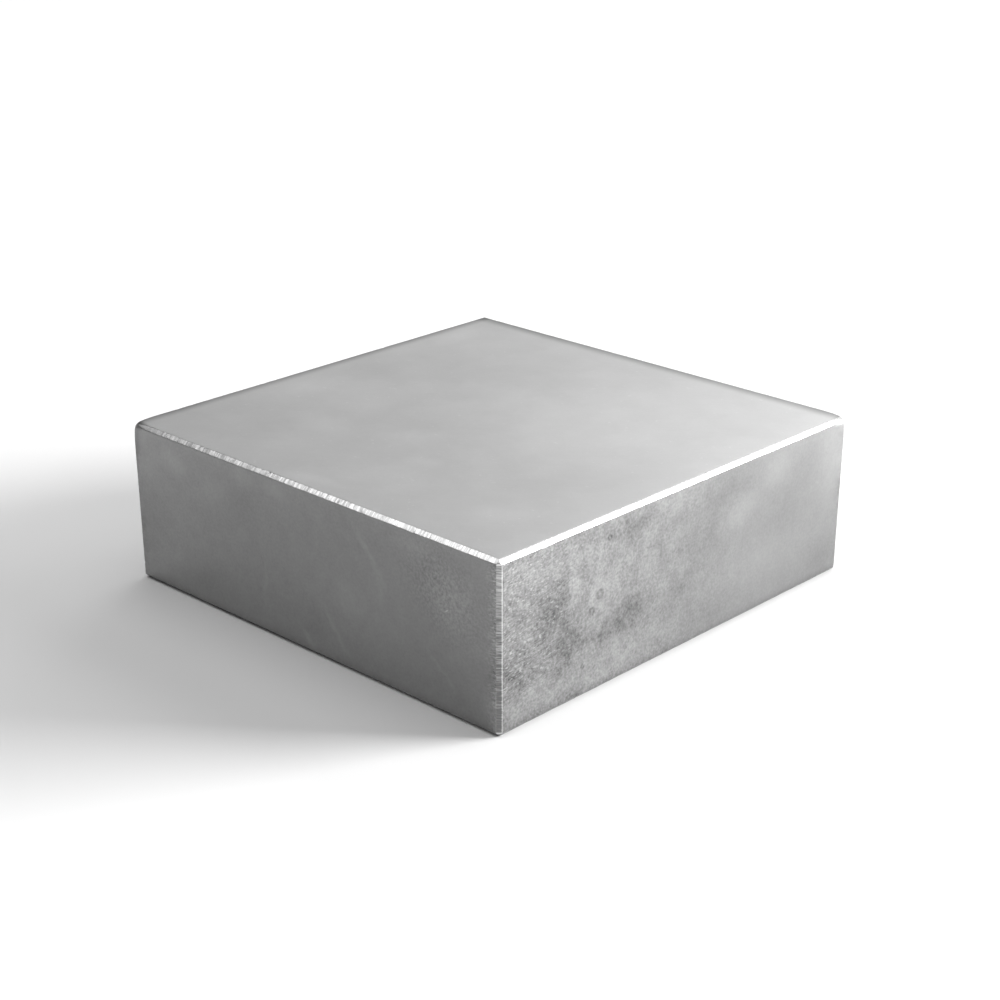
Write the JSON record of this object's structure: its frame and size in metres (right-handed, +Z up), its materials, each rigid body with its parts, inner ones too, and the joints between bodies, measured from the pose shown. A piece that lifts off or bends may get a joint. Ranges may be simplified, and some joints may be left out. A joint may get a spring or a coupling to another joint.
{
  "type": "steel bench block",
  "caption": "Solid square block of ground steel with a small chamfer on every edge: a metalsmith's bench block, used flat as a small anvil for hammering, flattening and riveting.",
  "frame": {"origin": "centre of the bottom face, which is the face the block rests on", "axes": "+Z up through the thickness, from the bottom face to the top work face; +X and +Y parallel to the sides of the square"},
  "size_m": [0.0762, 0.0762, 0.0254],
  "materials": {
    "ground_steel": "surface-ground and lapped to a satin sheen, with faint handling stains, fine scratches and cross-filed chamfers"
  },
  "bodies": {
    "root": {"steel_block": "ground_steel"}
  },
  "joints": []
}
